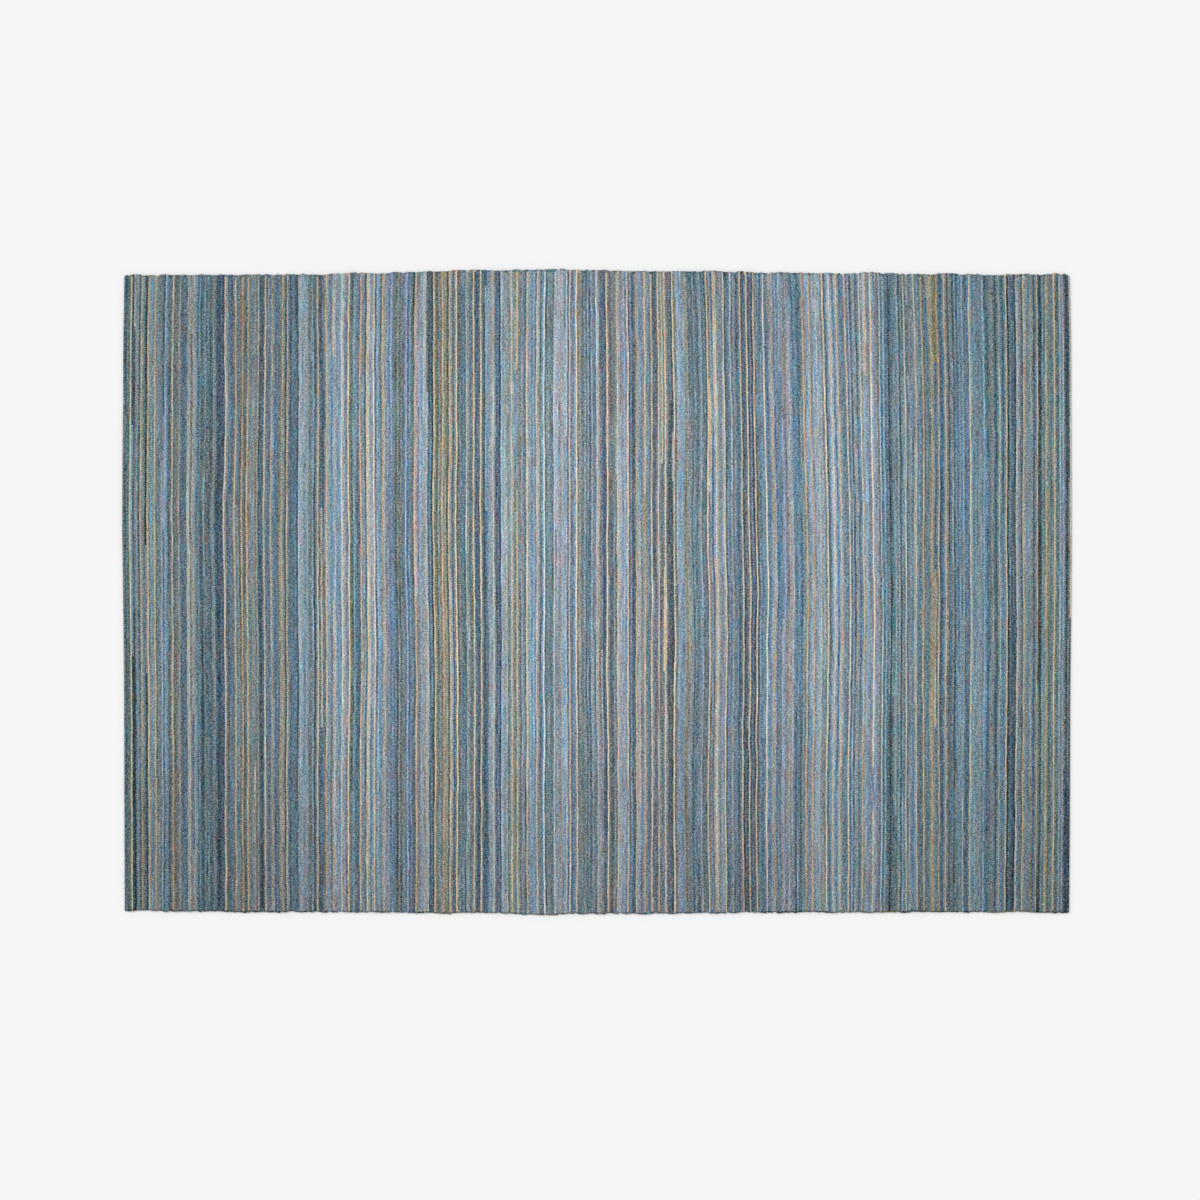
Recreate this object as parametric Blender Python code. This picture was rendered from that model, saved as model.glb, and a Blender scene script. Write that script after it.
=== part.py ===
"""Rag rug: one flat piece of plain-woven rag cloth, lying as it would on a floor.

Metres, +Z up. The rows of rag run along Y, and they follow one another along X, so the two
long edges are the selvedges, where each rag turns back, and the two short edges are the ends.
The origin is at the centre of the rug's box, on the surface that it lies on.
"""

import math

import bmesh
import bpy

# Driving dimensions
LENGTH = 2.700  # along X, at the fullest place
WIDTH = 1.835  # along Y, at the fullest place
THICKNESS = 0.007  # two layers of rag over and under one warp thread
CORNER_RADIUS = 0.010  # where the last row turns into the selvedge
EDGE_ROUND = 0.0028  # the soft upper edge of the outermost rag
UNDER_ROUND = 0.0008  # the edge where the cloth leaves the floor
STATION_SPACING = 0.045  # along the four edges
CORNER_STEPS = 5
EDGE_ROUND_STEPS = 3
MM = 0.001

# How far the selvedges stand in from their fullest place. The rug was beaten wider at its
# middle than at its ends, the far selvedge (+Y) more than the near one (-Y).
SELVEDGE_INSETS = (
    # share of length from the left end, far inset mm, near inset mm
    (0.000, 15.5, 9.0),
    (0.130, 14.8, 7.4),
    (0.215, 11.8, 6.2),
    (0.300, 6.5, 4.5),
    (0.380, 1.0, 1.7),
    (0.430, 0.0, 0.0),
    (0.510, 1.8, 1.6),
    (0.600, 4.7, 3.0),
    (0.720, 8.4, 5.4),
    (0.850, 10.8, 6.2),
    (1.000, 14.0, 4.0),
)

# How far the two ends stand in from their fullest place.
END_INSETS = (
    # share of width from the near selvedge, left inset mm, right inset mm
    (0.000, 7.3, 7.0),
    (0.150, 6.2, 5.0),
    (0.350, 5.3, 3.7),
    (0.500, 2.5, 0.8),
    (0.620, 0.0, 0.0),
    (0.800, 2.4, 1.2),
    (0.900, 3.6, 2.2),
    (1.000, 6.5, 5.5),
)

# The look of the plain solid
RAG_COLOUR = (0.145, 0.225, 0.305, 1.0)
RAG_ROUGHNESS = 0.95


def clear_scene():
    for other in list(bpy.data.objects):
        bpy.data.objects.remove(other, do_unlink=True)


def inset_at(table, share, column):
    """The inset at a share of an edge, in metres, on a smooth curve through the table's rows."""
    last = len(table) - 1
    row = max(i for i in range(last) if table[i][0] <= max(share, 0.0))
    before, start, end, after = (table[min(max(row + k, 0), last)] for k in (-1, 0, 1, 2))
    span = end[0] - start[0]
    leave = (end[column] - before[column]) / (end[0] - before[0]) * span
    arrive = (after[column] - start[column]) / (after[0] - start[0]) * span
    t = (share - start[0]) / span
    value = (
        start[column] * (1 + 2 * t) * (1 - t) ** 2
        + leave * t * (1 - t) ** 2
        + end[column] * (3 - 2 * t) * t**2
        + arrive * (t - 1) * t**2
    )
    return value * MM


def as_woven(x, y):
    """Where a point of the true rectangle lies on the rug, whose four edges bow outwards."""
    selvedge_column = 1 if y > 0 else 2
    end_column = 1 if x < 0 else 2
    selvedge_inset = inset_at(SELVEDGE_INSETS, x / LENGTH + 0.5, selvedge_column)
    end_inset = inset_at(END_INSETS, y / WIDTH + 0.5, end_column)
    return x * (1 - 2 * end_inset / LENGTH), y * (1 - 2 * selvedge_inset / WIDTH)


def rectangle_outline():
    """Points round a true rectangle with round corners, anticlockwise from the near left one."""
    half_x = LENGTH / 2 - CORNER_RADIUS
    half_y = WIDTH / 2 - CORNER_RADIUS
    corners = ((-half_x, -half_y), (half_x, -half_y), (half_x, half_y), (-half_x, half_y))
    points = []
    for index, (x, y) in enumerate(corners):
        first_angle = math.pi + index * math.pi / 2
        for step in range(CORNER_STEPS + 1):
            angle = first_angle + step / CORNER_STEPS * math.pi / 2
            points.append((x + CORNER_RADIUS * math.cos(angle), y + CORNER_RADIUS * math.sin(angle)))
        start_x, start_y = points[-1]
        run_x, run_y = ((2 * half_x, 0), (0, 2 * half_y), (-2 * half_x, 0), (0, -2 * half_y))[index]
        stations = round(math.hypot(run_x, run_y) / STATION_SPACING)
        for station in range(1, stations):
            share = station / stations
            points.append((start_x + share * run_x, start_y + share * run_y))
    return points


def rag_cloth_material():
    material = bpy.data.materials.new("rag_cloth")
    material.use_nodes = True
    material.diffuse_color = RAG_COLOUR
    shader = material.node_tree.nodes["Principled BSDF"]
    shader.inputs["Base Color"].default_value = RAG_COLOUR
    shader.inputs["Roughness"].default_value = RAG_ROUGHNESS
    shader.inputs["Metallic"].default_value = 0.0
    return material


def woven_rug():
    """The whole cloth as one flat solid: its outline extruded, then its edges rounded over."""
    outline = [as_woven(x, y) for x, y in rectangle_outline()]
    middle_x = (max(x for x, _ in outline) + min(x for x, _ in outline)) / 2
    middle_y = (max(y for _, y in outline) + min(y for _, y in outline)) / 2

    shape = bmesh.new()
    under = [shape.verts.new((x - middle_x, y - middle_y, 0.0)) for x, y in outline]
    sole = shape.faces.new(under)
    raised = bmesh.ops.extrude_face_region(shape, geom=[sole])["geom"]
    upper = [item for item in raised if isinstance(item, bmesh.types.BMVert)]
    bmesh.ops.translate(shape, verts=upper, vec=(0.0, 0.0, THICKNESS))
    bmesh.ops.recalc_face_normals(shape, faces=shape.faces)

    for height, width, steps in ((THICKNESS, EDGE_ROUND, EDGE_ROUND_STEPS), (0.0, UNDER_ROUND, 1)):
        rim = [
            edge
            for edge in shape.edges
            if all(abs(vert.co.z - height) < MM / 10 for vert in edge.verts)
        ]
        bmesh.ops.bevel(
            shape, geom=rim, offset=width, segments=steps, profile=0.5, affect="EDGES", clamp_overlap=True
        )

    mesh = bpy.data.meshes.new("woven_rug")
    shape.to_mesh(mesh)
    shape.free()
    mesh.shade_smooth()
    mesh.set_sharp_from_angle(angle=math.radians(40))
    mesh.materials.append(rag_cloth_material())
    rug = bpy.data.objects.new("woven_rug", mesh)
    bpy.context.scene.collection.objects.link(rug)


clear_scene()
woven_rug()
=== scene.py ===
"""Rag rug: the looks of one flat-woven cloth, laid out as an add-on that also runs as a script.

Metres, +Z up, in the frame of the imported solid. Each row is one strip of rag along Y, beaten up
against the row before it along X. A rag passes over one warp thread and under the next, so every
crossing shows as a bead of rag, and the beads of neighbouring rows lie in between each other.
"""

import math
from types import SimpleNamespace

import bpy
import numpy as np
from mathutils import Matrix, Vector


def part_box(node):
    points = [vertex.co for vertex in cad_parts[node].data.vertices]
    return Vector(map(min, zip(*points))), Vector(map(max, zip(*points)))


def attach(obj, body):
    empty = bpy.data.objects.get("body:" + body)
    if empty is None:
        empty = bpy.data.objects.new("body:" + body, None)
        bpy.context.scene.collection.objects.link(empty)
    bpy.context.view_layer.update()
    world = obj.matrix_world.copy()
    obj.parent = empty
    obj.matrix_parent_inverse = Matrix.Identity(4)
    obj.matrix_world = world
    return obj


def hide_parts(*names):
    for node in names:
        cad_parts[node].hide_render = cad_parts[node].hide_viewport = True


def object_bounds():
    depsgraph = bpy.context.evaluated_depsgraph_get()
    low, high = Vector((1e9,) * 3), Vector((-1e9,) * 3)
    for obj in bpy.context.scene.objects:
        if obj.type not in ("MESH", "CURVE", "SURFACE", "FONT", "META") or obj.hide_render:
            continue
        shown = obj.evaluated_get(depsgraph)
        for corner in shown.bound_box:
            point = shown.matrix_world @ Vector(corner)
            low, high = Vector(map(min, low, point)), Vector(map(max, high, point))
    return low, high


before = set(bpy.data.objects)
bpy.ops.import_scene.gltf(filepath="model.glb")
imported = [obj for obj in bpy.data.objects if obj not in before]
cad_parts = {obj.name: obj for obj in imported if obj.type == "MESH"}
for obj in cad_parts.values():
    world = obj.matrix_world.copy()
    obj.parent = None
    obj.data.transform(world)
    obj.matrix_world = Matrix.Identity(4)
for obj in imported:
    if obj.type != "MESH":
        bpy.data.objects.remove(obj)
CAD_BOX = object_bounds()

bl_info = {
    "name": "Rag Rug",
    "version": (1, 0, 0),
    "blender": (4, 5, 0),
    "location": "3D View > Sidebar > Rag Rug",
    "description": "Weaves a flat rag rug bead by bead, with its stripes, selvedges and studio",
    "category": "Mesh",
}

MM = 0.001
NODE = "woven_rug"
SLOT = "rag_cloth"
BODY = "root"
STUDIO_FLOOR = "studio_floor"

# The cloth's size, as the solid has it
LOWEST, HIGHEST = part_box(NODE)
LENGTH = 2.700  # along X, at the fullest place
WIDTH = 1.835  # along Y, at the fullest place
THICKNESS = HIGHEST.z - LOWEST.z
CORNER_RADIUS = 0.005

# The weave. The cloth is made in bands, because one mesh of all its beads would be too heavy.
BANDS = 24
ROWS_A_BAND = 23
ROWS = BANDS * ROWS_A_BAND
ROW_PITCH = LENGTH / ROWS
WARP_ENDS = 576  # 8 to the inch
UNDER_STEP = 3  # the underside has a bead for every third warp end
UNDER_ENDS = WARP_ENDS // UNDER_STEP
RIM_ANGLES = (45, 0, -45)  # degrees, down the round selvedge
RIM_STEPS = len(RIM_ANGLES)
RIM_RADIUS = THICKNESS / 2

# One section of the cloth across its rows is a ring of points: up the top face from the near
# selvedge, round the far selvedge, back along the underside and round the near selvedge.
FAR_RIM = WARP_ENDS
UNDERSIDE = FAR_RIM + RIM_STEPS
NEAR_RIM = UNDERSIDE + UNDER_ENDS
RING = NEAR_RIM + RIM_STEPS

# How far the selvedges stand in from their fullest place, as the solid has it.
SELVEDGE_INSETS = (
    # share of length from the left end, far inset mm, near inset mm
    (0.000, 15.5, 9.0),
    (0.130, 14.8, 7.4),
    (0.215, 11.8, 6.2),
    (0.300, 6.5, 4.5),
    (0.380, 1.0, 1.7),
    (0.430, 0.0, 0.0),
    (0.510, 1.8, 1.6),
    (0.600, 4.7, 3.0),
    (0.720, 8.4, 5.4),
    (0.850, 10.8, 6.2),
    (1.000, 14.0, 4.0),
)

# How far the two ends stand in from their fullest place, as the solid has it.
END_INSETS = (
    # share of width from the near selvedge, left inset mm, right inset mm
    (0.000, 7.3, 7.0),
    (0.150, 6.2, 5.0),
    (0.350, 5.3, 3.7),
    (0.500, 2.5, 0.8),
    (0.620, 0.0, 0.0),
    (0.800, 2.4, 1.2),
    (0.900, 3.6, 2.2),
    (1.000, 6.5, 5.5),
)

# The rows were beaten up askew in the far half of the cloth: how far each leans at the far selvedge.
ROW_LEAN = (
    # share of length from the left end, lean along X in mm
    (0.00, 0.0),
    (0.20, 0.0),
    (0.33, -3.0),
    (0.45, -1.5),
    (0.50, -4.0),
    (0.56, -8.0),
    (0.61, -9.5),
    (0.66, -15.0),
    (0.72, -17.0),
    (0.77, -15.0),
    (0.82, -10.5),
    (0.88, -5.0),
    (1.00, 0.0),
)

# The letters that the stripe plan uses for the rags
RAGS = {
    "K": "ink",
    "D": "slate",
    "N": "navy",
    "B": "denim",
    "S": "sky",
    "T": "teal",
    "G": "grey_green",
    "M": "mist",
    "A": "ash",
    "V": "sage",
    "L": "lavender",
    "O": "olive",
    "C": "cream",
    "P": "tan",
    "R": "brown",
    "W": "stone",
}

# The stripes from the left end: a letter for each rag, and the number of rows that it fills where
# that is more than one. Each line is one band.
STRIPE_PLAN = (
    "G D2 O V K2 A S D P G T K P M S T P G T L M",
    "D S2 D K P D G A W D2 B D W2 A V W T B T D",
    "D T D T D2 A T D N K N2 C A D B2 R C B T R",
    "P D2 P A T M V A V D K N C D M B P T B2 A G",
    "P T D P B D T B D2 M S M2 S M G2 T D2 C D",
    "D N D P S T B P M A S2 W V L B P G D T B D N",
    "P A B T P V S A C B S T B P M A M B3 G D G",
    "D G T B L B2 G D P A L S M A W M D2 K P O D",
    "G R P G O D P A B G P G A D T D W G B R C D N",
    "N P D2 N B M2 W A N3 M3 V A T P M T P",
    "G A L T D C A S B S B P A T B W D T G D T W M",
    "M A W M S M B P B3 C G2 T G T D T D T A T",
    "M V A B N D C A G D G T P M2 L M S C D B N D",
    "P M2 B A P T B D C D N R C T G T C R D2 K C",
    "G M S3 M O A2 T D T D2 S M D T D C R S B",
    "P W V M3 C D B2 V B A T D B C K D2 C D N",
    "N P D T B T B C B S B P L B2 T M L M A M A M",
    "B D T B D T D P A B S P A S2 W S M A C D B S",
    "P S B S P M B T B P B L D M A D B C A S2 L S",
    "P S L A2 S T S B D K N T A T A D B T C B A L",
    "B M W A B T P R B T G P A B T P N B2 C R B N",
    "A D T B S B W D B2 C S T S A S A T S B2 D A",
    "A D N T V B T B P K D N2 K W R B D P A M B V",
    "A N B P K2 T2 P O G T A P G T2 L W N K N K",
)

# Places where rows change rag on their way, beyond those that change by chance
JOINS = (
    # first row (counted from 0), rows, from this share of the width, to this share, rag
    (551, 1, 0.46, 1.00, "C"),
    (472, 3, 0.86, 1.00, "O"),
)

# How uneven hand-cut rag is. Lengths are in metres, unless the name says millimetres.
ROW_JITTER = 0.10  # how far each row lies from its place, as a share of the pitch
ROW_JITTER_LIMIT = 2  # no row lies more than this many times as far
ROW_WAVER_MM = 0.40  # how far one row wavers along its length
BEAD_JITTER_MM = 0.30
CLOTH_WAVER_MM = 1.4  # how far the rows waver together
CLOTH_SWAY_MM = 2.8  # how far they sway over a longer way
PUCKER_MM = 0.9  # how far the weave is pulled about in small patches
ROW_SLIP_MM = 0.9  # how far a row's beads slip along it
ROW_HEIGHT_MM = 0.45
BEAD_HEIGHT_MM = 0.25
WAVER_KNOTS = 34  # along a row
CLOTH_KNOTS = (36, 14)  # along X and Y
SWAY_KNOTS = (20, 5)
PUCKER_KNOTS = (90, 60)
STRAIGHT_ENDS = 20  # over one part in this many of the length, at each end, the rows run straighter
STEADY_SELVEDGES = 50  # over one part in this many of the width, at each selvedge, beads slip less
LEAN_POWER = 1.1  # how the lean grows from the middle of the width to the far selvedge
LOOP_REACH = 0.007  # how far into the cloth a selvedge loop pulls its rows
LOOP_LIMIT = 2.2  # no loop stands out more than this many times the usual
SELVEDGE_SWELLS = 62  # gentle swells along each selvedge
SELVEDGE_SWELL_MM = 1.2
TURN_DEPTHS = (0.002, 0.009)  # how far a turn's rag shows over its two rows
TURN_SHADE = 0.80  # how light the painted shade on a turn is, as a share of the rag's own colour
CARRIED_RAGS = "KGDROKGT"  # rags carried along the near selvedge, as letters
CARRIED_ROWS = (8, 44)  # how many rows each goes
CARRIED_DEPTH = 0.0036
# Painted shade on the carried rags at the selvedge, as a share of their dye
CARRIED_SHADE = 0.72
END_ROUND = (0.5, 0.28)  # how far the outermost beads and the hollows between them reach, in pitches
MOST_JOINS = 6  # in a row
JOIN_CHANCE = 0.5  # for each of them
SEAM_TONE = 0.5  # how light the faces between two bands are, as a share of the rag's colour

# How much the rags vary in tone, partly as painted shade beside fuller beads, patches and rows. Lint and
# wear show as much on dark rag as on light, so these are shares of the range from black to white as the
# eye sees it.
ROW_TONE = 0.032  # from row to row
ROW_APART = 0.50  # how much each row's tone takes from the tones of the rows beside it, as painted shade beside lighter rows
CHANGED_ROWS = 0.11  # share of the rows that are another rag for some of their way
CHANGED_SHARE = (0.05, 0.45)  # of the width, for each of them
CHANGED_FROM = (-3, -2, 2, 3)  # how many rows off the other rag lies
JOIN_TONE = 0.036  # from one joined piece of rag to the next
JOIN_WARMTH = 0.016
JOIN_GREEN = 0.005
BEAD_TONE = 0.035  # from bead to bead
FOLD_TONE = 0.044  # from one fold of a bead to the next
TWIST_TONE = 0.044  # between the two sides of a bead
PATCHES = (
    # patches along a row, how much they vary
    (20, 0.019),
    (60, 0.026),
)
PATCHES_APART = 0.10  # how much a patch takes from the patches on the rows beside it, as painted shade beside fuller patches
DYE_PATCHES = (
    # patches along a row, how much warmer, how much greener
    (60, 0.026, 0.010),
    (130, 0.014, 0.006),
    (260, 0.010, 0.006),
)
PRESSED_SHADE = 0.20  # how much a full bead takes from each of the four beads that it lies between, as painted shade where it presses them down
BLED = 0.13  # how much of its hue a row takes from each row beside it
LINT = (1.62, 1.15)  # how strongly spots show on black, and how much less they do on white
EYE = 2.2  # the power that takes what the eye sees to light

WARM = np.array((1.0, -0.32, -1.0))  # which way a warmer tint goes
GREEN = np.array((-1.0, 0.69, -1.0))  # which way a greener tint goes
LIGHTNESS = np.array((0.3, 0.59, 0.11))  # how much red, green and blue count in lightness

# The cloth is darker towards its two ends, is painted with shade towards the near selvedge as if the light
# fell off there, and its hue shifts a little along its length.
TONE_ALONG = (
    # share of length from the left end, thousandths lighter
    (0.00, -130.0),
    (0.09, -80.0),
    (0.15, -155.0),
    (0.21, 60.0),
    (0.28, 90.0),
    (0.34, 50.0),
    (0.46, 125.0),
    (0.54, 75.0),
    (0.62, 0.0),
    (0.78, 110.0),
    (0.85, -95.0),
    (0.92, -45.0),
    (1.00, -140.0),
)
TEAL_ALONG = (
    # share of length from the left end, thousandths more teal
    (0.00, 6.0),
    (0.12, 2.0),
    (0.28, -6.0),
    (0.40, 4.0),
    (0.47, -10.0),
    (0.60, -6.0),
    (0.75, -2.0),
    (0.84, 9.0),
    (0.95, 10.0),
    (1.00, 6.0),
)
TEAL = np.array((-1.0, 0.4, 0.1))  # which way a tint of more teal goes
SHADE_ACROSS = (
    # share of width from the near selvedge, thousandths lighter, as painted light and shade
    (0.00, -180.0),
    (0.12, -105.0),
    (0.21, -50.0),
    (0.29, 20.0),
    (0.46, 65.0),
    (0.70, 105.0),
    (0.80, 85.0),
    (0.90, 35.0),
    (1.00, 10.0),
)

# How far a bead shows before the next row does. Pale rag makes thin even lines, so its beads and
# those beside them reach less far.
BEAD_REACH = 0.74  # in row pitches from the bead's crest
PALE_FROM = 0.62  # the lightness from which a rag counts as pale, as the eye sees it
PALE_OVER = 0.12  # how much lighter than that a rag is that counts as wholly pale
PALE_REACH = 0.25  # how much less a bead of pale rag reaches
REACH_TO_PALE = 0.11  # how much less a bead beside pale rag reaches
PALE_CREASE_SHADE = 0.55  # how much lighter the painted shade in the creases is in pale rag

# Each bead has four triangles: which row lies beside each of them, and for each of their corners,
# whether it lies in that row (1) or in the bead's own (0).
NEXT_ROWS = (1, -1, -1, 1)
BEAD_FACES = len(NEXT_ROWS)
ACROSS_CORNERS = (0, 1, 0, 0, 0, 1, 0, 1, 0, 0, 0, 1)

# How far a bead's edge turns away from its crest, in degrees
TURN_ACROSS_ROWS = 46
TURN_ALONG_ROWS = 50

# The map that a colour bake goes through. The ring is cut into strips that lie side by side, and
# the faces between two bands have narrow strips beside them. Shares of the map, unless a unit is named.
BAKE_MAP = "OFBake"
MAP_STRIPS = 6
MAP_STRIPS_WIDTH = 0.96
MAP_ROW_MARGIN = 1  # rows to each side of a band's own
MAP_MARGIN = 0.011  # metres of the ring past each strip's ends
MAP_SEAM_STRIPS = (0.968, 0.992)
MAP_SEAM_WIDTH = 0.007
MAP_SEAM_START = 0.01
MAP_SEAM_LENGTH = 0.98

# The surface of the rag: finer unevenness than the beads', as noise stretched along the rows
RAGGED_NOISE = SimpleNamespace(stretch=(1.0, 1.0, 1.0), scale=330.0, detail=1.0)  # of the rows' edges
STREAK_NOISE = SimpleNamespace(stretch=(1.0, 0.16, 1.0), scale=1100.0, detail=2.0)  # fibres and folds
FLECK_NOISE = SimpleNamespace(stretch=(1.0, 0.6, 1.0), scale=420.0, detail=1.0)  # worn spots
NOISE_ROUGHNESS = 0.6
NOISE_RANGE = (0.3, 0.7)  # where nearly all of the noise lies
CREASE_POWER = 1.4  # how steeply the shadow in a crease grows
BUMP_STRENGTH = 0.5
BUMP_DEPTH = 0.0004  # metres
SPECULAR = 0.25
SHEEN_ROUGHNESS = 0.5

# The studio. Metres and degrees, unless the name says millimetres.
FLOOR_SIDES = 96
FLOOR_RADIUS = 30.0
FLOOR_GAP = 0.0002  # between the floor and the cloth
LAMP_SPREAD = 35
LAMP_TILT = (-28, -34, 0)
SENSOR_WIDTH_MM = 36.0
CLIP_END = 100.0

SEEDS = SimpleNamespace(
    place=11, height=23, loops=37, rags=41, joins=53, mottle=67, selvedges=71, folds=83, changes=97
)


# Small helpers


def linear(value):
    """A screen value from 0 to 255 as the light that it stands for, by the usual curve of screens."""
    share = value / 255
    return share / 12.92 if share <= 0.04045 else ((share + 0.055) / 1.055) ** 2.4


def dye(name, description, red, green, blue):
    """A colour property for one rag, given as its colour looks on a screen, from 0 to 255."""
    return bpy.props.FloatVectorProperty(
        name=name,
        description=description,
        default=(linear(red), linear(green), linear(blue)),
        min=0.0,
        max=1.0,
        size=3,
        subtype="COLOR",
    )


def length_property(name, description, millimetres):
    """A property for a length, given in millimetres and held in metres."""
    return bpy.props.FloatProperty(
        name=name,
        description=description,
        default=millimetres * MM,
        min=0.0,
        unit="LENGTH",
        precision=4,
    )


def through(table, shares, column):
    """A table's values at shares of an edge, on a smooth curve through its rows.

    They are given in millimetres or in thousandths, and come out in metres or in whole ones.
    """
    rows = np.array(table)
    places, values = rows[:, 0], rows[:, column]
    last = len(rows) - 2
    row = np.clip(np.searchsorted(places, shares, side="right") - 1, 0, last)
    before, after = np.maximum(row - 1, 0), np.minimum(row + 2, last + 1)
    span = places[row + 1] - places[row]
    leave = (values[row + 1] - values[before]) / (places[row + 1] - places[before]) * span
    arrive = (values[after] - values[row]) / (places[after] - places[row]) * span
    t = (shares - places[row]) / span
    curve = (
        values[row] * (1 + 2 * t) * (1 - t) ** 2
        + leave * t * (1 - t) ** 2
        + values[row + 1] * (3 - 2 * t) * t**2
        + arrive * (t - 1) * t**2
    )
    return curve * MM


def eased(places, knots):
    """Whole knots before each place from 0 to 1, and the eased share of the way to the next."""
    scaled = np.clip(places, 0.0, 1.0) * knots
    whole = np.minimum(scaled.astype(int), knots - 1)
    part = scaled - whole
    return whole, part * part * (3 - 2 * part)


def along_each_row(draw, knots, places):
    """Smooth noise along each row, from one row of knots each: rows by places."""
    heights = draw.normal(size=(ROWS + 2, knots + 1))
    whole, part = eased(places, knots)
    return heights[:, whole] * (1 - part) + heights[:, whole + 1] * part


def over_the_cloth(draw, knots, x_places, y_places):
    """Smooth noise over the whole cloth, for arrays of places from 0 to 1 along X and Y."""
    heights = draw.uniform(-1.0, 1.0, size=(knots[0] + 1, knots[1] + 1))
    column, x_part = eased(x_places, knots[0])
    line, y_part = eased(y_places, knots[1])
    near = heights[column, line] * (1 - x_part) + heights[column + 1, line] * x_part
    far = heights[column, line + 1] * (1 - x_part) + heights[column + 1, line + 1] * x_part
    return near * (1 - y_part) + far * y_part


def beside_each_row(values):
    """The sum of the values on the two rows beside each row."""
    return np.roll(values, 1, axis=0) + np.roll(values, -1, axis=0)


# The weave


def planned_rags():
    """The rag of each row, from the stripe plan."""
    rags = []
    for line in STRIPE_PLAN:
        for stripe in line.split():
            rags += [RAGS[stripe[0]]] * int(stripe[1:] or 1)
    if len(rags) != ROWS:
        raise ValueError(f"the stripe plan has {len(rags)} rows and the cloth has {ROWS}")
    return rags


def ring_section(weave):
    """One section across the rows: each point's place, the way out of the cloth, and its relief."""
    reach = WIDTH / 2 - RIM_RADIUS
    top_y = np.linspace(-reach, reach, WARP_ENDS)
    under_y = top_y[1::UNDER_STEP][::-1]
    far = np.radians(RIM_ANGLES)
    near = np.pi - far[::-1]
    middle = THICKNESS / 2
    y = np.concatenate(
        [top_y, reach + RIM_RADIUS * np.cos(far), under_y, -reach + RIM_RADIUS * np.cos(near)]
    )
    z = np.concatenate(
        [
            np.full(WARP_ENDS, THICKNESS),
            middle + RIM_RADIUS * np.sin(far),
            np.zeros(UNDER_ENDS),
            middle + RIM_RADIUS * np.sin(near),
        ]
    )
    up, down = np.full(WARP_ENDS, np.pi / 2), np.full(UNDER_ENDS, -np.pi / 2)
    angle = np.concatenate([up, far, down, near])
    relief = np.concatenate(
        [
            np.full(WARP_ENDS, weave.top_relief),
            np.full(RIM_STEPS, weave.selvedge_relief),
            np.full(UNDER_ENDS, weave.under_relief),
            np.full(RIM_STEPS, weave.selvedge_relief),
        ]
    )
    steps = np.hypot(np.diff(y, append=y[0]), np.diff(z, append=z[0]))
    return SimpleNamespace(
        y=y,
        z=z,
        out=np.stack([np.zeros(RING), np.cos(angle), np.sin(angle)], axis=1),
        along=np.stack([np.zeros(RING), -np.sin(angle), np.cos(angle)], axis=1) * -1,
        relief=relief,
        travel=np.concatenate([[0.0], np.cumsum(steps)]),
        share=y / WIDTH + 0.5,
    )


def selvedge_loops(draw, ring, weave):
    """How far each row's turn at the two selvedges stands out. A rag turns back every other row."""
    pairs = ROWS // 2 + 2
    far = np.repeat(draw.normal(size=pairs), 2)[1 : ROWS + 3]
    near = np.repeat(draw.normal(size=pairs), 2)[: ROWS + 2]
    pull_far = np.exp(-(WIDTH / 2 - ring.y) / LOOP_REACH)
    pull_near = np.exp(-(WIDTH / 2 + ring.y) / LOOP_REACH)
    loops = far[:, None] * pull_far - near[:, None] * pull_near
    places = np.arange(ROWS + 2) / (ROWS + 2)
    swells = []
    for _ in range(2):
        knots = draw.normal(size=SELVEDGE_SWELLS + 1)
        whole, part = eased(places, SELVEDGE_SWELLS)
        swells.append(knots[whole] * (1 - part) + knots[whole + 1] * part)
    swell = swells[0][:, None] * pull_far - swells[1][:, None] * pull_near
    loops = np.clip(loops, -LOOP_LIMIT, LOOP_LIMIT) * weave.loop_unevenness
    return loops + swell * SELVEDGE_SWELL_MM * MM


def laid_out(x, y):
    """Takes points of a true rectangle to where they lie on the rug."""
    from_end = LENGTH / 2 - np.abs(x)
    short = np.clip(CORNER_RADIUS - from_end, 0.0, CORNER_RADIUS)
    cut = CORNER_RADIUS - np.sqrt(CORNER_RADIUS**2 - short**2)
    y = y * (1 - 2 * cut / WIDTH)
    x_share, y_share = x / LENGTH + 0.5, y / WIDTH + 0.5
    selvedge = np.where(
        y > 0, through(SELVEDGE_INSETS, x_share, 1), through(SELVEDGE_INSETS, x_share, 2)
    )
    end = np.where(x < 0, through(END_INSETS, y_share, 1), through(END_INSETS, y_share, 2))
    far_half = np.clip(2 * y_share - 1, 0.0, 1.0)
    lean = through(ROW_LEAN, x_share, 1) * far_half**LEAN_POWER
    return x * (1 - 2 * end / LENGTH) + lean, y * (1 - 2 * selvedge / WIDTH)


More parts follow.
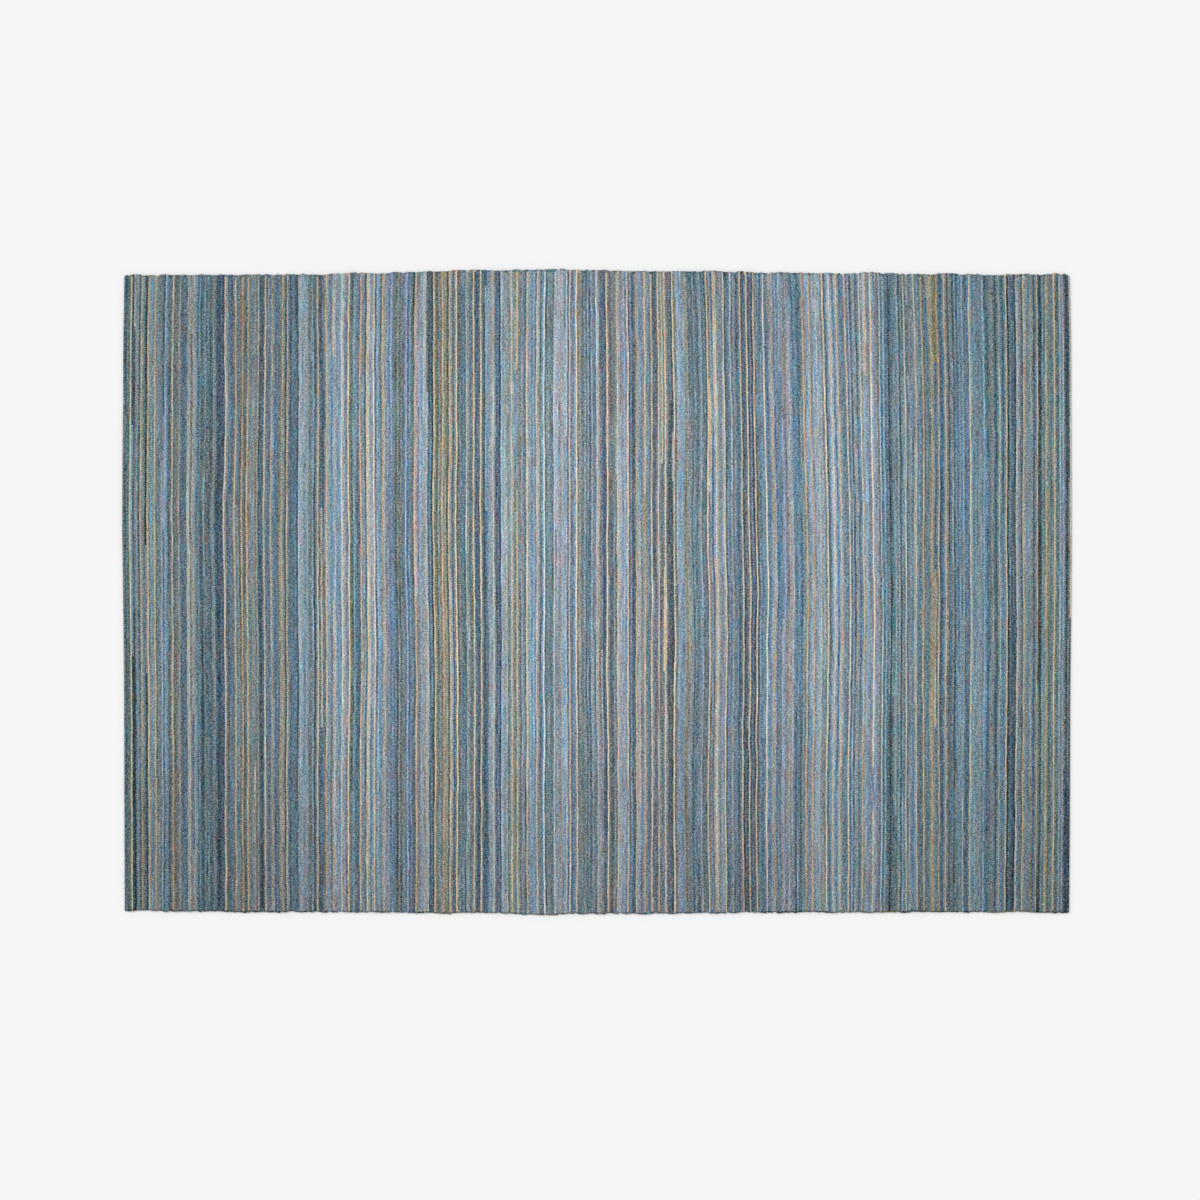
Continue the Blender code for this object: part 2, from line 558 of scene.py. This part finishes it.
def lattice(weave):
    """All points of the cloth: one line of them a row, one before the first row and one after the last.

    A point is the crest of a bead where its row, counted from 0, and its place on the ring make an
    even number. The others are the bottoms of the hollows between four beads.
    """
    ring = ring_section(weave)
    line = np.arange(ROWS + 2)[:, None]
    crest = (line - 1 + np.arange(RING)) % 2 == 0
    place = np.random.default_rng(SEEDS.place)
    height = np.random.default_rng(SEEDS.height)
    shape = (ROWS + 2, RING)

    x = np.broadcast_to((line - 0.5) * ROW_PITCH - LENGTH / 2, shape).copy()
    jitter = np.clip(place.normal(size=(ROWS + 2, 1)), -ROW_JITTER_LIMIT, ROW_JITTER_LIMIT)
    x += jitter * ROW_JITTER * ROW_PITCH
    beads, hollows = END_ROUND
    first, last = (0.5 * ROW_PITCH - LENGTH / 2, LENGTH / 2 - 0.5 * ROW_PITCH)
    x[0], x[-1] = first - beads * ROW_PITCH, last + beads * ROW_PITCH
    x[1] = np.where(crest[1], first, first - hollows * ROW_PITCH)
    x[-2] = np.where(crest[-2], last, last + hollows * ROW_PITCH)
    waver = along_each_row(place, WAVER_KNOTS, ring.share) * ROW_WAVER_MM * MM
    waver[:2] = waver[-2:] = 0.0
    x += waver + place.normal(size=shape) * crest * BEAD_JITTER_MM * MM

    rag_height = np.abs(along_each_row(height, WAVER_KNOTS, ring.share)) * ROW_HEIGHT_MM
    sunk = (rag_height + height.random(shape) * BEAD_HEIGHT_MM) * MM
    sunk = np.where(crest, sunk, ring.relief + height.normal(size=shape) * BEAD_HEIGHT_MM / 2 * MM)
    y = ring.y - ring.out[:, 1] * sunk
    z = ring.z - ring.out[:, 2] * sunk
    y += selvedge_loops(np.random.default_rng(SEEDS.loops), ring, weave)
    y += place.normal(size=shape) * crest * BEAD_JITTER_MM * MM
    from_selvedge = np.minimum(ring.share, 1 - ring.share)
    slip = along_each_row(place, WAVER_KNOTS, ring.share)
    y += slip * np.clip(from_selvedge * STEADY_SELVEDGES, 0, 1) * ROW_SLIP_MM * MM

    x_share = (line - 0.5) / ROWS + 0 * ring.share
    y_share = ring.share + 0 * line
    drift = over_the_cloth(place, CLOTH_KNOTS, x_share, y_share) * CLOTH_WAVER_MM * MM
    drift += over_the_cloth(place, PUCKER_KNOTS, x_share, y_share) * PUCKER_MM * MM
    drift += over_the_cloth(place, SWAY_KNOTS, x_share, y_share) * CLOTH_SWAY_MM * MM
    drift *= np.clip(np.minimum(x_share, 1 - x_share) * STRAIGHT_ENDS, 0, 1)
    y += over_the_cloth(place, PUCKER_KNOTS, x_share, y_share) * PUCKER_MM * MM
    x, y = laid_out(x + drift, y)
    return SimpleNamespace(ring=ring, crest=crest, points=np.stack([x, y, z], axis=2))


def with_selvedges(colours, ring, dyes, draw):
    """Colours the turns at the far selvedge and the rags that are carried along the near one, both
    darkened as painted shade at the edge.
    """
    lines = len(colours)
    from_far = WIDTH / 2 - ring.y
    depths = np.repeat(draw.uniform(*TURN_DEPTHS, size=lines // 2 + 1), 2)[1 : lines + 1]
    which = np.repeat(draw.integers(0, 2, size=lines // 2 + 1), 2)[1 : lines + 1]
    pair = (np.arange(lines) - 1) // 2 * 2 + 1 + which
    # A turn shows the rag of its pair of rows, darkened as painted shade at the edge
    turned_rag_in_shade = colours[np.clip(pair, 0, lines - 1)] * TURN_SHADE
    colours = np.where((from_far[None, :] < depths[:, None])[:, :, None], turned_rag_in_shade, colours)

    carried = np.zeros((lines, 3))
    row = 0
    while row < lines:
        count = int(draw.integers(*CARRIED_ROWS))
        letter = CARRIED_RAGS[int(draw.integers(len(CARRIED_RAGS)))]
        carried[row : row + count] = getattr(dyes, RAGS[letter])
        row += count
    # The carried rags, darkened as painted shade at the selvedge
    near = (WIDTH / 2 + ring.y < CARRIED_DEPTH)[None, :, None]
    return np.where(near, carried[:, None, :] * CARRIED_SHADE, colours)


def laid_rags(ring, dyes):
    """The dye of each bead, by the stripe plan and the places where rows change rag."""
    table = np.array([getattr(dyes, rag) for rag in planned_rags()])
    base = np.concatenate([table[:1], table, table[-1:]])
    colours = np.repeat(base[:, None, :], RING, axis=1)  # with one line more at each end
    draw = np.random.default_rng(SEEDS.changes)
    for line in np.nonzero(draw.random(len(base)) < CHANGED_ROWS)[0]:
        start, share = draw.random(), draw.uniform(*CHANGED_SHARE)
        other = np.clip(line + draw.choice(CHANGED_FROM), 0, len(base) - 1)
        colours[line, (ring.share > start) & (ring.share < start + share)] = base[other]
    for first, count, start, stop, letter in JOINS:
        inside = (ring.share >= start) & (ring.share <= stop)
        colours[first + 1 : first + 1 + count, inside] = getattr(dyes, RAGS[letter])
    return colours


def joined_pieces(ring):
    """How much each bead's tone and tint differ by the joins along its row."""
    draw = np.random.default_rng(SEEDS.joins)
    lines = ROWS + 2
    places = draw.random((lines, MOST_JOINS))
    beyond = 2.0  # a place past the far selvedge, for a join that isn't made
    places[draw.random((lines, MOST_JOINS)) > JOIN_CHANCE] = beyond
    piece = (ring.share[None, :, None] > places[:, None, :]).sum(axis=2)
    tones = draw.normal(size=(lines, MOST_JOINS + 1)) * JOIN_TONE
    warm = draw.normal(size=(lines, MOST_JOINS + 1)) * JOIN_WARMTH
    green = draw.normal(size=(lines, MOST_JOINS + 1)) * JOIN_GREEN
    tints = np.stack([warm - green, green, -warm - green], axis=2)
    rows = np.arange(lines)[:, None]
    return tones[rows, piece], tints[rows, piece]


def uneven_tones(ring, mottle):
    """How much lighter each bead is: by itself, by the faded patches of its rag, and by its row, with
    painted shade beside fuller beads, patches and rows.
    """
    full = mottle.normal(size=(ROWS + 2, RING)) * BEAD_TONE
    between = sum(np.roll(full, (line, spot), axis=(0, 1)) for line in (-1, 1) for spot in (-1, 1))
    # Painted shade: a bead between fuller, lighter beads is darker, and one between darker beads is
    # lighter
    tones = full - PRESSED_SHADE * between
    for knots, amount in PATCHES:
        patches = along_each_row(mottle, knots, ring.share) * amount
        tones += patches - PATCHES_APART * beside_each_row(patches)
    rows = np.random.default_rng(SEEDS.rags).normal(size=(ROWS + 2, 1)) * ROW_TONE
    return tones + (rows - ROW_APART * beside_each_row(rows))


def rag_colours(ring, dyes):
    """The colour of each bead: its rag's dye, with joins, faded and tinted patches, wear, darker ends, and
    painted shade at the selvedges and towards the near one.
    """
    colours = laid_rags(ring, dyes)
    colours = with_selvedges(colours, ring, dyes, np.random.default_rng(SEEDS.selvedges))
    mottle = np.random.default_rng(SEEDS.mottle)
    joined_tones, joined_tints = joined_pieces(ring)
    tones = uneven_tones(ring, mottle) + joined_tones

    seen = colours ** (1 / EYE)
    tones *= LINT[0] - LINT[1] * seen.mean(axis=2)
    seen += joined_tints
    for knots, warmer, greener in DYE_PATCHES:
        for amount, way in ((warmer, WARM), (greener, GREEN)):
            patches = along_each_row(mottle, knots, ring.share) * amount
            seen += patches[:, :, None] * way
    hue = seen - (seen @ LIGHTNESS)[:, :, None]
    seen += BLED * (beside_each_row(hue) - 2 * hue)
    seen += tones[:, :, None]

    share_along = np.clip((np.arange(ROWS + 2)[:, None] - 0.5) / ROWS, 0.0, 1.0)
    seen += through(TEAL_ALONG, share_along, 1)[:, :, None] * TEAL
    # Darker towards the two ends, and painted shade towards the near selvedge
    tone_and_shade = through(TONE_ALONG, share_along, 1) + through(SHADE_ACROSS, ring.share, 1)
    return np.clip(np.clip(seen, 0.0, 1.0) ** EYE * np.exp(tone_and_shade)[:, :, None], 0.0, 1.0)


# The meshes


def bead_faces(crest, first_line):
    """The four triangles of each bead of a band, as line and ring numbers, by bead."""
    line, spot = np.nonzero(crest[first_line : first_line + ROWS_A_BAND])
    line = line + first_line
    middle = (line, spot)
    east, west = (line + 1, spot), (line - 1, spot)
    north, south = (line, (spot + 1) % RING), (line, (spot - 1) % RING)
    around = (east, north, west, south, east)
    faces = [(middle, point, following) for point, following in zip(around, around[1:])]
    lines = np.stack([[point[0] for point in face] for face in faces])
    spots = np.stack([[point[1] for point in face] for face in faces])
    return lines.transpose(2, 0, 1), spots.transpose(2, 0, 1)


def seam_spots():
    """The triangles that close a band at its last row, as ring numbers, facing +X."""
    faces = []
    for bead in range(UNDER_ENDS):
        under = NEAR_RIM - 1 - bead
        first = UNDER_STEP * bead
        for spot in range(first, min(first + UNDER_STEP, WARP_ENDS - 1)):
            faces.append((under, spot + 1, spot))
        if bead < UNDER_ENDS - 1:
            faces.append((under, under - 1, first + UNDER_STEP))
    for step in range(RIM_STEPS):
        top_near = RING - 1 - step
        faces.append((0, top_near, top_near - 1))
        under_far = UNDERSIDE - step
        faces.append((WARP_ENDS - 1, under_far, under_far - 1))
    return np.array(faces)


def seam_faces(crest, outer_line, spots, facing):
    """The triangles of one seam, as line and ring numbers, through the hollows beside a row."""
    beside = outer_line + facing
    lines = np.where(crest[beside][spots], outer_line, beside)
    if facing < 0:
        return lines[:, ::-1], spots[:, ::-1]
    return lines, spots


def turned(out, way, degrees):
    """The way out of the cloth, turned by an angle towards another way."""
    angle = math.radians(degrees)
    return out * math.cos(angle) + way * math.sin(angle)


def bead_normals(ring, spot):
    """The normals at the corners of each bead's triangles, so that it looks round."""
    out, along = ring.out[spot], ring.along[spot]
    across = np.broadcast_to(np.array([1.0, 0.0, 0.0]), out.shape)
    east, west = turned(out, across, TURN_ACROSS_ROWS), turned(out, -across, TURN_ACROSS_ROWS)
    north, south = turned(out, along, TURN_ALONG_ROWS), turned(out, -along, TURN_ALONG_ROWS)
    around = (east, north, west, south, east)
    faces = [np.stack((out, turn, following), axis=1) for turn, following in zip(around, around[1:])]
    return np.stack(faces, axis=1)


def bead_map(ring, lines, spots, first_line):
    """Map places of the corners of each bead's triangles."""
    middle = spots[:, :1, :1]
    around = ring.travel[-1]
    strip_length = around / MAP_STRIPS
    strip = np.minimum((ring.travel[middle] / strip_length).astype(int), MAP_STRIPS - 1)
    travel = ring.travel[spots]
    travel = np.where(travel - ring.travel[middle] > around / 2, travel - around, travel)
    travel = np.where(ring.travel[middle] - travel > around / 2, travel + around, travel)
    v = (travel - strip * strip_length + MAP_MARGIN) / (strip_length + 2 * MAP_MARGIN)
    row = (lines - first_line + 0.5 + MAP_ROW_MARGIN) / (ROWS_A_BAND + 2 * MAP_ROW_MARGIN)
    u = (strip + row) / MAP_STRIPS * MAP_STRIPS_WIDTH
    return np.stack([u, v], axis=3)


def seam_map(ring, spots, side):
    """Map places of one seam's corners: a narrow strip beside the ring's."""
    under = (spots >= UNDERSIDE) & (spots < NEAR_RIM)
    u = MAP_SEAM_STRIPS[side] + under * MAP_SEAM_WIDTH
    u = np.where((spots >= FAR_RIM) & ~under, MAP_SEAM_STRIPS[side] + MAP_SEAM_WIDTH / 2, u)
    v = MAP_SEAM_START + MAP_SEAM_LENGTH * ring.share[spots]
    return np.stack([u, v], axis=2)


def paleness(shades):
    """How pale each colour is as the eye sees it, from 0 for the blues to 1 for cream."""
    return np.clip((shades.mean(axis=-1) ** (1 / EYE) - PALE_FROM) / PALE_OVER, 0.0, 1.0)


def fold_tones(beads, draw):
    """How much lighter each triangle of each bead is, from its folds and its twist."""
    folds = draw.normal(size=BEAD_FACES * beads) * FOLD_TONE
    twists = np.repeat(draw.normal(size=beads), BEAD_FACES) * np.tile(NEXT_ROWS, beads) * TWIST_TONE
    return (folds + twists)[:, None]


def folded(shades, tones):
    """Colours made lighter or darker by tones that show most on dark rag."""
    seen = shades ** (1 / EYE)
    seen = seen + tones * (LINT[0] - LINT[1] * seen.mean(axis=1, keepdims=True))
    return np.clip(seen, 0.0, 1.0) ** EYE


def band_of_beads(cloth, colours, first_line):
    """The beads of one band, as triangles with their normals, map places, colours and reach."""
    lines, spots = bead_faces(cloth.crest, first_line)
    beads = len(lines)
    bead_lines, bead_spots = lines[:, 0, 0], spots[:, 0, 0]
    own = np.repeat(colours[bead_lines, bead_spots], BEAD_FACES, axis=0)
    beside = np.stack([colours[bead_lines + way, bead_spots] for way in NEXT_ROWS], axis=1).reshape(-1, 3)
    own_paleness, next_paleness = paleness(own), paleness(beside)
    less = np.where(own_paleness > next_paleness, PALE_REACH * own_paleness, REACH_TO_PALE * next_paleness)
    tones = fold_tones(beads, np.random.default_rng(SEEDS.folds + first_line))
    return SimpleNamespace(
        lines=lines.reshape(-1, 3),
        spots=spots.reshape(-1, 3),
        normals=bead_normals(cloth.ring, bead_spots).reshape(-1, 3),
        places=bead_map(cloth.ring, lines, spots, first_line).reshape(-1, 2),
        shades=folded(own, tones),
        beside=folded(beside, tones),
        across=np.tile(ACROSS_CORNERS, beads) - np.repeat(BEAD_REACH - less, 3),
    )


def band_seam(cloth, colours, outer_line, seam, side):
    """The triangles that close one band at its first row (side 0) or its last (side 1), likewise."""
    facing = (-1, 1)[side]
    lines, spots = seam_faces(cloth.crest, outer_line, seam, facing)
    shades = colours[outer_line, spots[:, 0]] * SEAM_TONE
    return SimpleNamespace(
        lines=lines,
        spots=spots,
        normals=np.tile((float(facing), 0.0, 0.0), (lines.size, 1)),
        places=seam_map(cloth.ring, spots, side).reshape(-1, 2),
        shades=shades,
        beside=shades,
        across=np.full(lines.size, -1.0),  # so that the next row never shows
    )


def band_mesh(name, cloth, colours, first_line, seam):
    """One band of the cloth as a closed mesh."""
    parts = [
        band_of_beads(cloth, colours, first_line),
        band_seam(cloth, colours, first_line, seam, 0),
        band_seam(cloth, colours, first_line + ROWS_A_BAND - 1, seam, 1),
    ]

    def joined(what):
        return np.concatenate([getattr(part, what) for part in parts])

    used, corners = np.unique(joined("lines") * RING + joined("spots"), return_inverse=True)
    used_line, used_spot = used // RING, used % RING
    corners = corners.reshape(-1).astype(np.int32)
    faces = len(corners) // 3

    mesh = bpy.data.meshes.new(name)
    mesh.vertices.add(len(used))
    mesh.vertices.foreach_set("co", cloth.points[used_line, used_spot].astype(np.float32).ravel())
    mesh.loops.add(len(corners))
    mesh.loops.foreach_set("vertex_index", corners)
    mesh.polygons.add(faces)
    mesh.polygons.foreach_set("loop_start", np.arange(0, 3 * faces, 3, dtype=np.int32))
    mesh.update(calc_edges=True)

    bake_map = mesh.uv_layers.new(name=BAKE_MAP)
    bake_map.uv.foreach_set("vector", joined("places").astype(np.float32).ravel())
    for attribute, what in (("rag_colour", "shades"), ("next_rag_colour", "beside")):
        rag = mesh.attributes.new(attribute, "FLOAT_COLOR", "FACE")
        shade = np.concatenate([joined(what), np.ones((faces, 1))], axis=1)
        rag.data.foreach_set("color", shade.astype(np.float32).ravel())
    reach = mesh.attributes.new("across", "FLOAT", "CORNER")
    reach.data.foreach_set("value", joined("across").astype(np.float32))
    # Painted shade: how deep in a hollow between beads each point lies, for the finish to darken it, less
    # so in pale rag
    crease = mesh.attributes.new("crease", "FLOAT", "POINT")
    hollow = ~cloth.crest[used_line, used_spot]
    crease_shade_kept = 1 - PALE_CREASE_SHADE * paleness(colours[used_line, used_spot])
    crease.data.foreach_set("value", (hollow * crease_shade_kept).astype(np.float32))
    mesh.normals_split_custom_set(joined("normals").astype(np.float32))
    return mesh


# The finish


def node(tree, kind, **settings):
    """A new node. A setting is a property of the node, or the default of the socket so named."""
    made = tree.nodes.new(kind)
    for name, value in settings.items():
        if name in made.bl_rna.properties:
            setattr(made, name, value)
        else:
            made.inputs[name].default_value = value
    return made


def math_node(tree, operation, first, second):
    """The outcome of a sum of two values, each a number or another node's output."""
    made = tree.nodes.new("ShaderNodeMath")
    made.operation = operation
    for socket, value in zip(made.inputs, (first, second)):
        if isinstance(value, (int, float)):
            socket.default_value = value
        else:
            tree.links.new(value, socket)
    return made.outputs[0]


def rag_noise(tree, place, kind, low, high):
    """Noise over the cloth of one of the kinds above, in the range from low to high."""
    mapping = node(tree, "ShaderNodeMapping", Scale=kind.stretch)
    tree.links.new(place, mapping.inputs["Vector"])
    noise = node(
        tree, "ShaderNodeTexNoise", Scale=kind.scale, Detail=kind.detail, Roughness=NOISE_ROUGHNESS
    )
    tree.links.new(mapping.outputs["Vector"], noise.inputs["Vector"])
    spread = tree.nodes.new("ShaderNodeMapRange")
    for socket, value in zip(("From Min", "From Max", "To Min", "To Max"), (*NOISE_RANGE, low, high)):
        spread.inputs[socket].default_value = value
    tree.links.new(noise.outputs["Fac"], spread.inputs["Value"])
    return spread.outputs["Result"]


def rag_cloth(finish):
    """Cotton rag: dyed strips with streaked fibres, flecks where the dye has worn, and painted shade in
    the creases between beads.
    """
    material = bpy.data.materials.new(SLOT)
    material.use_nodes = True
    tree = material.node_tree
    shader = tree.nodes["Principled BSDF"]
    shader.inputs["Roughness"].default_value = finish.roughness
    shader.inputs["Specular IOR Level"].default_value = SPECULAR
    shader.inputs["Sheen Weight"].default_value = finish.sheen
    shader.inputs["Sheen Roughness"].default_value = SHEEN_ROUGHNESS

    place = tree.nodes.new("ShaderNodeTexCoord").outputs["Object"]
    rag = node(tree, "ShaderNodeAttribute", attribute_name="rag_colour")
    next_rag = node(tree, "ShaderNodeAttribute", attribute_name="next_rag_colour")
    across = node(tree, "ShaderNodeAttribute", attribute_name="across")
    crease = node(tree, "ShaderNodeAttribute", attribute_name="crease")
    ragged = rag_noise(tree, place, RAGGED_NOISE, -finish.raggedness, finish.raggedness)
    edge = math_node(tree, "ADD", across.outputs["Fac"], ragged)
    own = tree.nodes.new("ShaderNodeMix")
    own.data_type = "RGBA"
    tree.links.new(math_node(tree, "GREATER_THAN", edge, 0.0), own.inputs["Factor"])
    tree.links.new(rag.outputs["Color"], own.inputs["A"])
    tree.links.new(next_rag.outputs["Color"], own.inputs["B"])

    streaks = rag_noise(tree, place, STREAK_NOISE, 1 - finish.streaks, 1 + finish.streaks)
    flecks = rag_noise(tree, place, FLECK_NOISE, 1 - finish.flecks, 1 + finish.flecks)
    worn = math_node(tree, "MULTIPLY", streaks, flecks)
    # Painted shade in the hollows between beads, deepest at their bottoms
    depth = math_node(tree, "POWER", crease.outputs["Fac"], CREASE_POWER)
    shadow = math_node(tree, "SUBTRACT", 1.0, math_node(tree, "MULTIPLY", depth, finish.crease_shade_depth))
    tone = math_node(tree, "MULTIPLY", worn, shadow)

    colour = tree.nodes.new("ShaderNodeVectorMath")
    colour.operation = "SCALE"
    tree.links.new(own.outputs["Result"], colour.inputs[0])
    tree.links.new(tone, colour.inputs["Scale"])
    tree.links.new(colour.outputs[0], shader.inputs["Base Color"])

    bump = node(tree, "ShaderNodeBump", Strength=BUMP_STRENGTH, Distance=BUMP_DEPTH)
    tree.links.new(worn, bump.inputs["Height"])
    tree.links.new(bump.outputs["Normal"], shader.inputs["Normal"])
    return material


def matt_material(name, colour):
    """A plain material with no gloss at all."""
    material = bpy.data.materials.new(name)
    material.use_nodes = True
    shader = material.node_tree.nodes["Principled BSDF"]
    shader.inputs["Base Color"].default_value = (*colour, 1.0)
    shader.inputs["Roughness"].default_value = 1.0
    shader.inputs["Specular IOR Level"].default_value = 0.0
    return material


# What a user may change


class RugWeave(bpy.types.PropertyGroup):
    """The relief of the weave."""

    top_relief: length_property("Relief", "How deep the hollows between beads are on top", 2.2)
    under_relief: length_property("Relief underneath", "How deep the hollows are underneath", 1.8)
    selvedge_relief: length_property("Selvedge relief", "How deep the hollows between turns are", 1.7)
    loop_unevenness: length_property("Selvedge unevenness", "How unevenly the rag turns back", 1.0)


class RagDyes(bpy.types.PropertyGroup):
    """The colours of the rags."""

    ink: dye("Ink", "The darkest rag, a blue-black", 77, 92, 100)
    slate: dye("Slate", "Dark grey-blue", 99, 121, 133)
    navy: dye("Navy", "Dark blue", 95, 116, 139)
    denim: dye("Denim", "Mid blue", 112, 141, 166)
    sky: dye("Sky", "Light blue", 141, 168, 187)
    teal: dye("Teal", "Mid green-blue", 120, 148, 158)
    grey_green: dye("Grey-green", "Mid grey with some green", 131, 143, 140)
    mist: dye("Mist", "Light grey-blue", 153, 168, 179)
    ash: dye("Ash", "Mid grey", 144, 149, 154)
    sage: dye("Sage", "Light grey-green", 172, 176, 166)
    lavender: dye("Lavender", "Mid grey-violet", 144, 152, 170)
    olive: dye("Olive", "Yellowish brown-green", 152, 152, 122)
    cream: dye("Cream", "The lightest rag", 211, 197, 171)
    tan: dye("Tan", "Light brown", 203, 181, 151)
    brown: dye("Brown", "Mid brown-grey", 138, 132, 126)
    stone: dye("Stone", "Light warm grey", 182, 185, 182)


class RagFinish(bpy.types.PropertyGroup):
    """The surface of the rag."""

    roughness: bpy.props.FloatProperty(
        name="Roughness",
        description="How matt the cotton is",
        default=0.92,
        min=0.0,
        max=1.0,
    )
    sheen: bpy.props.FloatProperty(
        name="Sheen",
        description="How much light the loose fibres catch",
        default=0.08,
        min=0.0,
        max=1.0,
    )
    streaks: bpy.props.FloatProperty(
        name="Streaks",
        description="How much the folds of a rag vary in tone",
        default=0.15,
        min=0.0,
        max=1.0,
    )
    flecks: bpy.props.FloatProperty(
        name="Flecks",
        description="How much wear has faded the rag in spots",
        default=0.08,
        min=0.0,
        max=1.0,
    )
    # Painted shade in the hollows between beads
    crease_shade_depth: bpy.props.FloatProperty(
        name="Creases",
        description="How dark the hollows between beads are",
        default=0.30,
        min=0.0,
        max=1.0,
    )
    raggedness: bpy.props.FloatProperty(
        name="Raggedness",
        description="How unevenly the rows' edges run, in row spacings",
        default=0.08,
        min=0.0,
        max=0.4,
    )


class RugStudio(bpy.types.PropertyGroup):
    """The camera, the floor and the light."""

    lens: bpy.props.FloatProperty(
        name="Lens",
        description="Focal length in millimetres",
        default=85.0,
        min=20.0,
        unit="CAMERA",
    )
    view_width: bpy.props.FloatProperty(
        name="View width",
        description="How much floor the picture spans",
        default=3.414,
        unit="LENGTH",
    )
    view_centre: bpy.props.FloatVectorProperty(
        name="View centre",
        description="Where the camera looks",
        default=(0.0091, -0.0225),
        size=2,
        unit="LENGTH",
    )
    floor_colour: bpy.props.FloatVectorProperty(
        name="Floor",
        description="Colour of the pale floor",
        default=(0.933, 0.933, 0.933),
        size=3,
        subtype="COLOR",
    )
    sky_light: bpy.props.FloatProperty(
        name="Soft light",
        description="Strength of the even light from all round",
        default=0.72,
        min=0.0,
    )
    key_light: bpy.props.FloatProperty(
        name="Key light",
        description="Strength of the wide lamp",
        default=1.15,
        min=0.0,
    )


# The operators


class RAGRUG_OT_weave_cloth(bpy.types.Operator):
    """Weave the rug in bands that meet along the hollows between two rows"""

    bl_idname = "ragrug.weave_cloth"
    bl_label = "Weave the cloth"
    bl_options = {"REGISTER", "UNDO"}

    def execute(self, context):
        scene = context.scene
        cloth = lattice(scene.rug_weave)
        colours = rag_colours(cloth.ring, scene.rag_dyes)
        material = rag_cloth(scene.rag_finish)
        seam = seam_spots()
        for band in range(BANDS):
            name = f"woven_band_{band + 1:02d}"
            mesh = band_mesh(name, cloth, colours, 1 + band * ROWS_A_BAND, seam)
            mesh.materials.append(material)
            piece = bpy.data.objects.new(name, mesh)
            scene.collection.objects.link(piece)
            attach(piece, BODY)
            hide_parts(NODE)
        return {"FINISHED"}


class RAGRUG_OT_set_up_studio(bpy.types.Operator):
    """Set up the pale floor, the soft light and the camera straight above the rug"""

    bl_idname = "ragrug.set_up_studio"
    bl_label = "Set up the studio"
    bl_options = {"REGISTER", "UNDO"}

    def execute(self, context):
        scene, studio = context.scene, context.scene.rug_studio
        self.lay_floor(scene, studio)
        self.light(scene, studio)
        self.place_camera(scene, studio)
        scene.view_settings.view_transform = "Standard"
        return {"FINISHED"}

    def lay_floor(self, scene, studio):
        bpy.ops.mesh.primitive_circle_add(
            vertices=FLOOR_SIDES, radius=FLOOR_RADIUS, fill_type="NGON", location=(0, 0, 0)
        )
        floor = bpy.context.object
        floor.name = STUDIO_FLOOR
        floor.location.z = CAD_BOX[0][2] - FLOOR_GAP
        floor.data.materials.append(matt_material("pale_floor", studio.floor_colour))

    def light(self, scene, studio):
        world = bpy.data.worlds.new("soft_studio")
        world.use_nodes = True
        background = world.node_tree.nodes["Background"]
        background.inputs["Color"].default_value = (1.0, 1.0, 1.0, 1.0)
        background.inputs["Strength"].default_value = studio.sky_light
        scene.world = world
        key = bpy.data.lights.new("key_light", "SUN")
        key.energy = studio.key_light
        key.angle = math.radians(LAMP_SPREAD)
        lamp = bpy.data.objects.new("key_light", key)
        lamp.rotation_euler = [math.radians(angle) for angle in LAMP_TILT]
        scene.collection.objects.link(lamp)

    def place_camera(self, scene, studio):
        camera = bpy.data.cameras.new("view_from_above")
        camera.lens = studio.lens
        camera.sensor_width = SENSOR_WIDTH_MM
        camera.clip_end = CLIP_END
        height = studio.view_width * studio.lens / camera.sensor_width
        view = bpy.data.objects.new("view_from_above", camera)
        view.location = (*studio.view_centre, height)
        scene.collection.objects.link(view)
        scene.camera = view


class RAGRUG_PT_sidebar(bpy.types.Panel):
    """Lists the steps and the sizes and colours that they use"""

    bl_idname = "RAGRUG_PT_sidebar"
    bl_label = "Rag Rug"
    bl_space_type = "VIEW_3D"
    bl_region_type = "UI"
    bl_category = "Rag Rug"

    def draw(self, context):
        layout, scene = self.layout, context.scene
        for title, group, operator in (
            ("Weave", scene.rug_weave, RAGRUG_OT_weave_cloth),
            ("Rags", scene.rag_dyes, None),
            ("Finish", scene.rag_finish, None),
            ("Studio", scene.rug_studio, RAGRUG_OT_set_up_studio),
        ):
            box = layout.box()
            box.label(text=title)
            for name in group.__annotations__:
                box.prop(group, name)
            if operator:
                box.operator(operator.bl_idname)


CLASSES = (
    RugWeave,
    RagDyes,
    RagFinish,
    RugStudio,
    RAGRUG_OT_weave_cloth,
    RAGRUG_OT_set_up_studio,
    RAGRUG_PT_sidebar,
)
GROUPS = {"rug_weave": RugWeave, "rag_dyes": RagDyes, "rag_finish": RagFinish, "rug_studio": RugStudio}


def register():
    for each in CLASSES:
        bpy.utils.register_class(each)
    for name, group in GROUPS.items():
        setattr(bpy.types.Scene, name, bpy.props.PointerProperty(type=group))


def unregister():
    for name in GROUPS:
        delattr(bpy.types.Scene, name)
    for each in reversed(CLASSES):
        bpy.utils.unregister_class(each)


def main():
    register()
    bpy.ops.ragrug.set_up_studio()
    bpy.ops.ragrug.weave_cloth()


if __name__ == "__main__":
    main()
